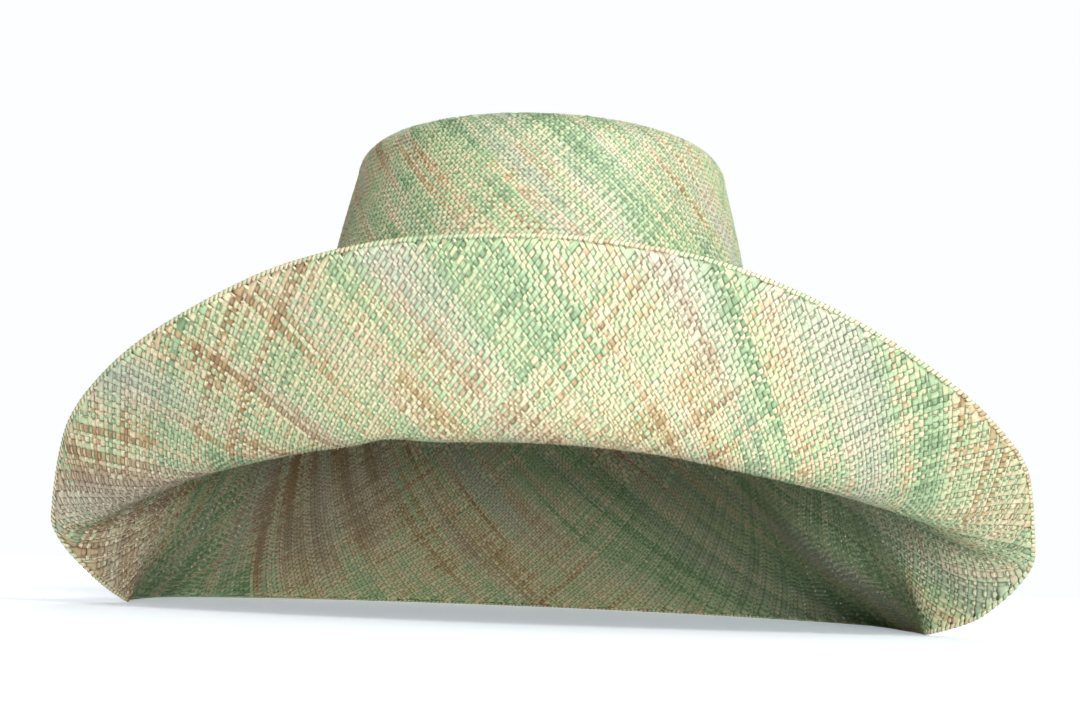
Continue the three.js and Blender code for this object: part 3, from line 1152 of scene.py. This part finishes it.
class RaffiaGroup:
    """The shader node group that every raffia finish uses: dye, fibres and gloss along a strip, with
    painted shade and painted highlight on each strip.
    """

    FIBRES_ACROSS = 4.2
    FIBRES_ALONG = 0.16
    FIBRE_STEP = 37.0
    FLECK_SCALE = 330.0
    FADED = (0.58, 0.56, 0.47, 1.0)

    def __init__(self, scale: DyeScale) -> None:
        """Builds the group with its named inputs and outputs."""
        group = NodeTree.group("raffia_fibres", "ShaderNodeTree")
        self.tree = group.tree
        group.socket("Strip Place", "NodeSocketVector")
        group.socket("Hat Place", "NodeSocketVector")
        for name, value in (
            ("Tone", 0.5),
            ("Bleach", 0.0),
            ("Rise", 1.0),
            ("Half Width", 1.0),
            ("Gap Shade", 0.3),
            ("Fleck", 0.1),
            ("Brightness", 1.0),
            ("Fibre Contrast", 0.3),
            ("Dryness", 0.5),
        ):
            group.socket(name, "NodeSocketFloat", value=value)
        group.socket("Colour", "NodeSocketColor", out=True)
        group.socket("Roughness", "NodeSocketFloat", out=True)
        group.socket("Relief", "NodeSocketFloat", out=True)
        given = group.node("NodeGroupInput").outputs
        parts = group.parts(given["Strip Place"])
        fibre_place = group.node(
            "ShaderNodeCombineXYZ",
            X=group.product(parts["X"], self.FIBRES_ACROSS),
            Y=group.product(parts["Y"], self.FIBRES_ALONG),
            Z=group.product(given["Tone"], self.FIBRE_STEP),
        ).outputs[0]
        fibre = group.noise("3D", Vector=fibre_place, Scale=1.0, Detail=2.5, Roughness=0.6)
        fleck = group.noise(
            "3D", Vector=given["Hat Place"], Scale=self.FLECK_SCALE, Detail=2.0, Roughness=0.6
        )
        off = group.maths("SUBTRACT", fleck, 0.5)
        tone = group.maths("MULTIPLY_ADD", off, given["Fleck"], given["Tone"])
        ramp = group.node("ShaderNodeValToRGB", Fac=tone)
        scale.fill(ramp.color_ramp)
        faded = group.node(
            "ShaderNodeMix",
            {"data_type": "RGBA"},
            i0=given["Bleach"],
            i6=ramp.outputs[0],
            i7=self.FADED,
        ).outputs[2]
        strand = group.maths("SUBTRACT", fibre, 0.5)
        streak = group.maths("MULTIPLY_ADD", strand, given["Fibre Contrast"], 1.0)
        # lit is painted shade and painted highlight. It falls to Gap Shade where a strip dives under
        # its crossing strip.
        lit = group.mix(self.painted_light_share(group, given, parts["X"]), given["Gap Shade"], 1.0)
        shade = group.product(streak, given["Brightness"], lit)
        colour = group.vector("SCALE", i0=faded, Scale=shade)
        rough = group.maths("MULTIPLY_ADD", fibre, 0.25, given["Dryness"])
        group.node("NodeGroupOutput", Colour=colour, Roughness=rough, Relief=fibre)

    @staticmethod
    def painted_light_share(
        group: NodeTree, given: bpy.types.NodeOutputs, across: bpy.types.NodeSocket
    ) -> bpy.types.NodeSocket:
        """Paints shade and highlight into a strip's colour: painted shade where it dives under at its
        crossings and along one long edge, and painted highlight along its other edge and on its
        crest.

        Args:
            group: The group's tree.
            given: The group's inputs.
            across: The place across the strip, in millimetres from its middle.

        Returns:
            How much of the colour is left, about 1 on a crest's light side.
        """
        rise = group.maths("ABSOLUTE", given["Rise"])
        # Painted shade where the strip dives under the strip that it crosses.
        over = group.fade(rise, From_Min=0.0, From_Max=0.12)
        side = group.maths("DIVIDE", across, given["Half Width"])
        # Painted shadow along one long edge of the strip, and painted highlight along the other.
        inner = group.fade(side, From_Min=1.05, From_Max=0.3, To_Min=0.15)
        bright = group.fade(side, From_Min=-0.2, From_Max=-0.9, To_Min=1.0, To_Max=1.18)
        # Painted highlight on the crest of each float, painted shade towards its ends.
        crest = group.maths("MULTIPLY_ADD", rise, 0.45, 0.6)
        return group.product(over, inner, group.product(crest, bright))


@dataclass(frozen=True)
class RaffiaFinish:
    """The look of raffia strips on one part of the hat."""

    name: str
    fleck: float = 0.14
    brightness: float = 1.06
    fibre_contrast: float = 1.0
    dryness: float = 0.28
    relief: float = 0.5
    relief_depth: float = 0.1
    # gap_shade is the darkest painted shade, where a strip dives under its crossing strip.
    gap_shade: float = 0.08

    def material(self, group: RaffiaGroup) -> bpy.types.Material:
        """Returns the finish as a material around the shared group."""
        material = bpy.data.materials.new(self.name)
        material.use_nodes = True
        nodes = NodeTree(material.node_tree)
        nodes.tree.nodes.clear()
        tone, bleach, rise, half = (
            nodes.node("ShaderNodeAttribute", {"attribute_name": name}).outputs["Fac"]
            for name in ("tone", "bleach", "rise", "half_width")
        )
        # The group's colour holds painted shade and painted highlight besides the dye and the fibres.
        fibres = nodes.node(
            "ShaderNodeGroup",
            {"node_tree": group.tree},
            Strip_Place=nodes.node("ShaderNodeUVMap", {"uv_map": "strip_uv"}).outputs[0],
            Hat_Place=nodes.node("ShaderNodeTexCoord").outputs["Object"],
            Tone=tone,
            Bleach=bleach,
            Rise=rise,
            Half_Width=half,
            Gap_Shade=self.gap_shade,
            Fleck=self.fleck,
            Brightness=self.brightness,
            Fibre_Contrast=self.fibre_contrast,
            Dryness=self.dryness,
        ).outputs
        bump = nodes.node(
            "ShaderNodeBump",
            Strength=self.relief,
            Distance=self.relief_depth * MM,
            Height=fibres["Relief"],
        )
        shader = nodes.node(
            "ShaderNodeBsdfPrincipled",
            Base_Color=fibres["Colour"],
            Roughness=fibres["Roughness"],
            Normal=bump.outputs[0],
        )
        nodes.node("ShaderNodeOutputMaterial", Surface=shader.outputs[0])
        return material


# The hat's pieces.


@dataclass
class WovenWall:
    """The woven strips of the crown and the brim, and the small patch that closes the tip.

    Lengths are in millimetres. lift is how far a strip stands off the wall's middle at a
    crossing, tightness the range of shares of it that are drawn, and gap the range of shares of
    its room that a strip leaves open on each side, where a share below 0 is an overlap.
    """

    surface: HatSurface
    layout: WeaveLayout
    dye: DyePattern
    relief: ReliefTree
    finishes: dict[Region, bpy.types.Material]
    lift: float = 0.46
    thickness: float = 0.42
    looseness: float = 0.24
    tightness: tuple[float, float] = (0.75, 1.15)
    hem_back: float = 0.9
    gap: tuple[float, float] = (-0.07, -0.02)
    patch_radius: float = 6.4
    patch_pitch: float = 1.8
    patch_lift: float = 0.45
    patch_half_width: float = 0.46
    patch_tone: float = 0.5
    patch_tone_spread: float = 0.06
    patch_bleach: float = 0.1
    patch_strip_shift: float = 20.0
    slack_seed: float = 3.0
    seed: int = 11
    parts_of: dict[Region, int] = field(
        default_factory=lambda: {Region.CROWN: 1, Region.BRIM: 2}
    )

    def build(self) -> list[bpy.types.Object]:
        """Builds every strip and returns the pieces they make up."""
        rng = np.random.default_rng(self.seed)
        form = self.surface.form
        end_spread = math.log1p((form.brim_width - self.hem_back) / form.mean_radius())
        meshes: dict[tuple[str, str, int], StripMesh] = {}
        for run in self.layout.runs(end_spread):
            for region, part in self.layout.split_at_opening(run).items():
                share = run.number * self.parts_of[region] // self.layout.strips
                key = (region.value, run.lean.name.lower(), share + 1)
                ridge = 1.0 if region is Region.CROWN else -1.0
                # Chooses the long edge of the strip that carries the painted shadow.
                shaded = ridge if run.lean is Lean.RIGHT else -ridge
                mesh = meshes.setdefault(key, StripMesh(ridge, shaded))
                self.lay(mesh, part, rng)
        self.close_tip(meshes[("crown", "right", 1)], meshes[("crown", "left", 1)], rng)
        return [
            self.dress(mesh.build("{}_strips_{}_{}".format(*key)), Region(key[0]))
            for key, mesh in sorted(meshes.items())
        ]

    def lay(self, mesh: StripMesh, run: StripRun, rng: np.random.Generator) -> None:
        """Lays one strip on the wall, a little wider than its room.

        Args:
            mesh: The mesh that takes the strip.
            run: The strip's stations.
            rng: The source of the overlaps' widths and the small changes of tone.
        """
        low, high = self.layout.wobbled(run)
        low_gap, high_gap = rng.uniform(*self.gap, (2, len(low), 1))
        corners = np.stack(
            [
                low + (high - low) * low_gap,
                (low + high) / 2,
                high - (high - low) * high_gap,
            ],
            axis=1,
        )
        azimuth = (corners[..., 0] + corners[..., 1]) / 2
        spread = (corners[..., 0] - corners[..., 1]) / 2
        points, normals = self.surface.at(azimuth, spread)
        along = self.surface.arc_at(spread) * math.sqrt(2)
        tones = self.dye.tones(run, rng)
        rise = run.rise * rng.uniform(*self.tightness, len(low))
        mesh.add(points, normals, rise, along, tones, self.dye.bleach(run))

    def close_tip(self, right: StripMesh, left: StripMesh, rng: np.random.Generator) -> None:
        """Closes the middle of the tip with a small flat patch of crossing strips.

        Args:
            right: The mesh that takes the strips along X.
            left: The mesh that takes the strips along Y.
            rng: The source of the small changes of tone.
        """
        rim = np.full(2, self.surface.spread[0])
        top, upwards = self.surface.at(np.array([0.0, math.pi]), rim)
        middle, normal = top.mean(axis=0), upwards.mean(axis=0)
        first = np.cross(np.array([0.0, 1.0, 0.0]), normal)
        second = np.cross(normal, first)
        pitch = self.patch_pitch
        count = int(self.patch_radius / pitch)
        half = self.patch_half_width
        for mesh, run_way, side_way, turn in ((right, first, second, 0), (left, second, first, 1)):
            for k in range(-count, count + 1):
                reach = math.sqrt(self.patch_radius ** 2 - (k * pitch) ** 2)
                steps = max(1, int(reach / pitch))
                at = np.arange(-steps, steps + 1)
                rise = np.where((at + k + turn) % 2 == 0, 1.0, -1.0)
                edge = np.array([-half, 0.0, half])[None, :] * pitch + k * pitch
                line = (at * pitch)[:, None] + 0 * edge
                points = (
                    middle
                    + line[..., None] * run_way
                    + (edge + 0 * line)[..., None] * side_way
                    + self.patch_lift * normal
                )
                tone = self.patch_tone + rng.normal(0, self.patch_tone_spread, len(at))
                normals = np.broadcast_to(normal, points.shape)
                along = line + self.patch_strip_shift * k
                mesh.add(points, normals, rise, along, tone, np.full(len(at), self.patch_bleach))

    def dress(self, item: bpy.types.Object, region: Region) -> bpy.types.Object:
        """Lifts the strips, gives them their finish and lets them stand for their node."""
        self.relief.apply(
            item,
            {
                "lift": self.lift * MM,
                "thickness": self.thickness * MM,
                "looseness": self.looseness * MM,
                "seed": self.slack_seed,
                "finish": self.finishes[region],
            },
        )
        return finish_piece(item, region.value)


def finish_piece(item: bpy.types.Object, node: str) -> bpy.types.Object:
    """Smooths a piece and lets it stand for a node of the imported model."""
    item.data.shade_smooth()
    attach(item, "root")
    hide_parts(node)
    LOG.info("%s: %d faces", item.name, len(item.data.polygons))
    return item


@dataclass
class FoldedHem:
    """The row of short strips that are folded over the hem, all round the brim.

    Lengths are in millimetres. fill is a fold's share of its room round the hem, and depth_draw
    the range of shares of a depth that are drawn.
    """

    surface: HatSurface
    dye: DyePattern
    relief: ReliefTree
    finish: bpy.types.Material
    folds: int = 620
    depth_below: float = 1.7
    depth_above: float = 3.2
    depth_draw: tuple[float, float] = (0.8, 1.2)
    depth_power: float = 1.5
    slant: float = 0.8
    lift: float = 0.42
    thickness: float = 0.3
    looseness: float = 0.2
    fill: float = 0.9
    steps: int = 7
    strip_shift: float = 9.0
    bleach: float = 0.15
    tone_middle: float = 0.5
    tone_contrast: float = 0.14
    tone_spread: float = 0.12
    strip_turn: float = 0.9
    strip_spread: float = 0.88
    slack_seed: float = 8.0
    seed: int = 5

    def build(self) -> bpy.types.Object:
        """Builds the folded strips as one piece."""
        rng = np.random.default_rng(self.seed)
        mesh = StripMesh(1.0)
        for number in range(self.folds):
            self.fold(mesh, number, rng)
        item = mesh.build("hem_folds")
        self.relief.apply(
            item,
            {
                "lift": 0.0,
                "thickness": self.thickness * MM,
                "looseness": self.looseness * MM,
                "seed": self.slack_seed,
                "finish": self.finish,
            },
        )
        return finish_piece(item, "brim_edge")

    def fold(self, mesh: StripMesh, number: int, rng: np.random.Generator) -> None:
        """Adds one strip that comes out to the hem below the brim and goes back above it.

        Args:
            mesh: The mesh that takes the fold.
            number: The fold's place round the hem.
            rng: The source of its depth and tone.
        """
        form = self.surface.form
        full = form.brim_width
        width = FULL_TURN / self.folds
        azimuth = -math.pi + (number + 0.5) * width
        turn = np.linspace(-1, 1, self.steps)
        depth = np.where(turn < 0, self.depth_below, self.depth_above)
        depth = depth * rng.uniform(*self.depth_draw)
        back = depth * np.abs(turn) ** self.depth_power
        rise = np.sin(turn * math.pi / 2) * np.minimum(1.0, 0.35 + np.abs(turn) * 2)
        shift = self.slant * turn * depth / (form.mean_radius() + full)
        sides = np.array([-0.5, 0.0, 0.5]) * width * self.fill
        spread = np.log1p((full - back) / form.mean_radius())
        at = azimuth + shift[:, None] + sides[None, :]
        points, normals = self.surface.at(at, np.broadcast_to(spread[:, None], at.shape))
        outward = points[self.steps // 2, 1] - points[0, 1]
        outward /= np.linalg.norm(outward)
        lean = np.cos(turn * math.pi / 2)[:, None, None]
        facing = normals * rise[:, None, None] + outward * lean
        facing /= np.linalg.norm(facing, axis=2, keepdims=True)
        points = points + normals * (rise * self.lift)[:, None, None]
        tone = self.tone(azimuth, number, rng)
        along = np.broadcast_to((turn * depth)[:, None], at.shape)
        along = along + self.strip_shift * number
        ones = np.ones(self.steps)
        mesh.add(points, facing, ones, along, tone * ones, self.bleach * ones)

    def tone(self, azimuth: float, number: int, rng: np.random.Generator) -> float:
        """Draws a fold's tone from the strips that reach the hem there."""
        strips = self.dye.layout.strips
        near = np.array([int((azimuth + self.strip_turn) / FULL_TURN * strips)])
        spread = np.array([self.strip_spread])
        value = 0.6 * self.dye.read("patch", near, spread) + 0.5 * self.dye.read("band", near, spread)
        tone = self.tone_middle + self.tone_contrast * value[0] + rng.normal(0, self.tone_spread)
        return float(np.clip(tone, 0, 1))


# Floor, light, camera.


@dataclass(frozen=True)
class Lamp:
    """One soft square lamp that looks at the hat."""

    name: str
    place: tuple[float, float, float]
    size: float
    power: float
    aim: tuple[float, float, float] = (0.0, 0.0, 0.1)

    def add(self) -> None:
        """Adds the lamp to the scene."""
        lamp = bpy.data.lights.new(self.name, "AREA")
        lamp.size = self.size
        lamp.energy = self.power
        item = bpy.data.objects.new(self.name, lamp)
        item.location = self.place
        towards = Vector(self.aim) - Vector(self.place)
        item.rotation_euler = towards.to_track_quat("-Z", "Y").to_euler()
        bpy.context.scene.collection.objects.link(item)


@dataclass(frozen=True)
class Studio:
    """A plain pale floor, soft light and the camera of the photograph's view.

    The floor glows towards the camera alone: by floor_glow up to floor_near metres from the
    middle, and fully from floor_far. The surround is dimmer than it shows, and brighter to the
    right and to the back by surround_slope and surround_back.
    """

    focal_length: float = 47.49
    sensor_width: float = 36.0
    clip_start: float = 0.01
    camera_place: tuple[float, float, float] = (-0.0137, -0.6204, 0.0186)
    yaw_deg: float = 1.0
    pitch_deg: float = 8.7
    roll_deg: float = 2.4
    floor_half_side: float = 6.0
    floor_colour: tuple[float, float, float, float] = (0.93, 0.95, 0.99, 1.0)
    floor_roughness: float = 0.9
    floor_near: float = 0.3
    floor_far: float = 0.9
    floor_glow: float = 0.36
    glow_colour: tuple[float, float, float, float] = (0.82, 0.90, 1.0, 1.0)
    surround: float = 0.34
    surround_slope: float = 0.14
    surround_back: float = 0.1
    surround_colour: tuple[float, float, float, float] = (0.98, 0.99, 1.0, 1.0)
    lamps: tuple[Lamp, ...] = (
        Lamp("key", (0.9, -1.15, 1.25), 0.45, 17.0),
        Lamp("low", (0.25, -1.5, 0.12), 0.5, 22.0),
        Lamp("back", (-0.5, 1.4, 1.1), 0.7, 9.0),
    )

    def build(self) -> None:
        """Builds the floor, the lights, the world and the camera."""
        self.add_floor()
        self.add_world()
        for lamp in self.lamps:
            lamp.add()
        self.add_camera()
        bpy.context.scene.view_settings.view_transform = "Standard"

    def add_floor(self) -> None:
        """Adds the plain pale floor."""
        mesh = bpy.data.meshes.new("floor")
        side = self.floor_half_side
        corners = [(-side, -side, 0), (side, -side, 0), (side, side, 0), (-side, side, 0)]
        mesh.from_pydata(corners, [], [(0, 1, 2, 3)])
        material = bpy.data.materials.new("pale_floor")
        material.use_nodes = True
        nodes = NodeTree(material.node_tree)
        shader = nodes.tree.nodes["Principled BSDF"]
        shader.inputs["Base Color"].default_value = self.floor_colour
        shader.inputs["Roughness"].default_value = self.floor_roughness
        shader.inputs["Emission Color"].default_value = self.glow_colour
        place = nodes.node("ShaderNodeTexCoord").outputs["Object"]
        away = nodes.node("ShaderNodeVectorMath", {"operation": "LENGTH"}, i0=place)
        glow = nodes.fade(
            away.outputs["Value"],
            From_Min=self.floor_near,
            From_Max=self.floor_far,
            To_Min=self.floor_glow,
            To_Max=1.0,
        )
        rays = nodes.node("ShaderNodeLightPath").outputs["Is Camera Ray"]
        nodes.tree.links.new(nodes.product(glow, rays), shader.inputs["Emission Strength"])
        mesh.materials.append(material)
        floor = bpy.data.objects.new("floor", mesh)
        bpy.context.scene.collection.objects.link(floor)

    def add_world(self) -> None:
        """Sets a surrounding light that shows as white behind the hat."""
        world = bpy.data.worlds.new("studio")
        world.use_nodes = True
        nodes = NodeTree(world.node_tree)
        background = nodes.tree.nodes["Background"]
        rays = nodes.node("ShaderNodeLightPath").outputs["Is Camera Ray"]
        way = nodes.parts(nodes.node("ShaderNodeTexCoord").outputs["Generated"])
        across = nodes.maths("MULTIPLY_ADD", way["X"], self.surround_slope, self.surround)
        light = nodes.maths("MULTIPLY_ADD", way["Y"], self.surround_back, across)
        background.inputs["Color"].default_value = self.surround_colour
        nodes.tree.links.new(nodes.mix(rays, light, 1.0), background.inputs["Strength"])
        bpy.context.scene.world = world

    def add_camera(self) -> None:
        """Adds the camera at the photograph's angle."""
        degrees = (self.yaw_deg, self.pitch_deg, self.roll_deg)
        yaw, pitch, roll = (math.radians(angle) for angle in degrees)
        forward = Vector(
            (math.sin(yaw) * math.cos(pitch), math.cos(yaw) * math.cos(pitch), math.sin(pitch))
        )
        level = Vector((math.cos(yaw), -math.sin(yaw), 0))
        upright = level.cross(forward)
        right = level * math.cos(roll) + upright * math.sin(roll)
        up = upright * math.cos(roll) - level * math.sin(roll)
        data = bpy.data.cameras.new("camera")
        data.lens = self.focal_length
        data.sensor_width = self.sensor_width
        data.sensor_fit = "HORIZONTAL"
        data.clip_start = self.clip_start
        camera = bpy.data.objects.new("camera", data)
        turn = Matrix((right, up, -forward)).transposed()
        camera.matrix_world = Matrix.Translation(self.camera_place) @ turn.to_4x4()
        bpy.context.scene.collection.objects.link(camera)
        bpy.context.scene.camera = camera


def main() -> None:
    """Builds the hat's pieces in order and reports each of them."""
    logging.basicConfig(level=logging.INFO, format="%(name)s: %(message)s")
    surface = HatSurface(HatForm())
    layout = WeaveLayout(surface)
    dye = DyePattern(layout)
    relief = ReliefTree()
    group = RaffiaGroup(DyeScale())
    finishes = {
        Region.CROWN: RaffiaFinish("crown_raffia").material(group),
        Region.BRIM: RaffiaFinish("brim_raffia").material(group),
    }
    WovenWall(surface, layout, dye, relief, finishes).build()
    FoldedHem(surface, dye, relief, RaffiaFinish("hem_raffia").material(group)).build()
    Studio().build()
    LOG.info("floor, lamps and camera are in place")


if __name__ == "__main__":
    main()
